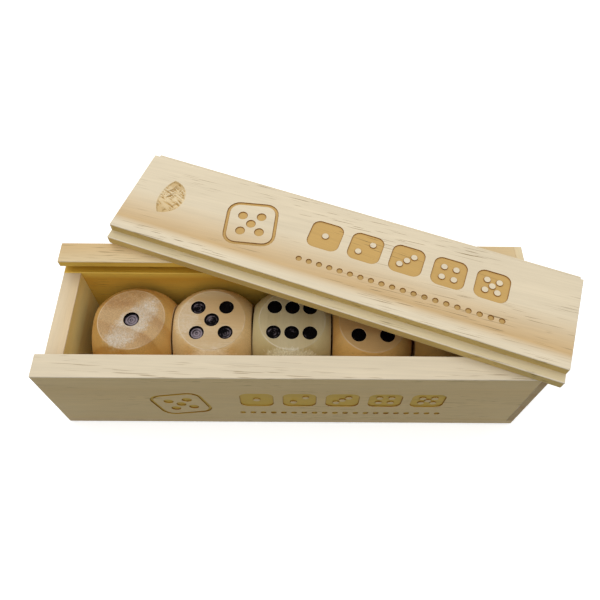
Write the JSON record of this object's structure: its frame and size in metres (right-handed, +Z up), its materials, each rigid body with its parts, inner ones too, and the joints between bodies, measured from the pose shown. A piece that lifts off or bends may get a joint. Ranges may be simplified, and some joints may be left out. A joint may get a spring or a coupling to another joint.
{
  "type": "boxed wooden dice set",
  "caption": "Round-cornered wooden dice with drilled black pips, in a long pine box whose grooved sliding lid lies askew across the open top.",
  "frame": {"origin": "middle of the box's underside, on the surface it stands on", "axes": "+X along the box towards its full-height end wall, +Y towards its plain back wall, +Z up; the engraved front wall faces -Y"},
  "size_m": [0.1958, 0.1014, 0.0526],
  "materials": {
    "pine_walls": "fine-sanded pine, unfinished",
    "pine_lid": "fine-sanded pine, unfinished, engraving burnt tan-brown",
    "die_1_wood": "hardwood under thin clear lacquer, pips painted black",
    "die_2_wood": "hardwood under thin clear lacquer, pips painted black",
    "die_3_wood": "hardwood under thin clear lacquer, pips painted black",
    "die_4_wood": "hardwood under thin clear lacquer, pips painted black",
    "die_5_wood": "hardwood under thin clear lacquer, pips painted black"
  },
  "bodies": {
    "box": {"bottom_panel": "pine_walls", "front_wall": "pine_walls", "back_wall": "pine_walls", "left_end_wall": "pine_walls", "right_end_wall": "pine_walls"},
    "lid": {"lid": "pine_lid"},
    "die_1": {"die_1": "die_1_wood"},
    "die_2": {"die_2": "die_2_wood"},
    "die_3": {"die_3": "die_3_wood"},
    "die_4": {"die_4": "die_4_wood"},
    "die_5": {"die_5": "die_5_wood"}
  },
  "joints": [
    {"name": "lid_lift", "type": "slide", "parent": "box", "child": "lid", "axis": [0, 0, 1], "range_m": [0, 0.12]},
    {"name": "die_1_lift", "type": "slide", "parent": "box", "child": "die_1", "axis": [0, 0, 1], "range_m": [0, 0.06]},
    {"name": "die_2_lift", "type": "slide", "parent": "box", "child": "die_2", "axis": [0, 0, 1], "range_m": [0, 0.06]},
    {"name": "die_3_lift", "type": "slide", "parent": "box", "child": "die_3", "axis": [0, 0, 1], "range_m": [0, 0.06]},
    {"name": "die_4_lift", "type": "slide", "parent": "box", "child": "die_4", "axis": [0, 0, 1], "range_m": [0, 0.06]},
    {"name": "die_5_lift", "type": "slide", "parent": "box", "child": "die_5", "axis": [0, 0, 1], "range_m": [0, 0.06]}
  ],
  "couplings": [
    {"joint": "die_2_lift", "follows": "lid_lift", "ratio": 0.5},
    {"joint": "die_3_lift", "follows": "lid_lift", "ratio": 0.5},
    {"joint": "die_4_lift", "follows": "lid_lift", "ratio": 0.5},
    {"joint": "die_5_lift", "follows": "lid_lift", "ratio": 0.5}
  ]
}
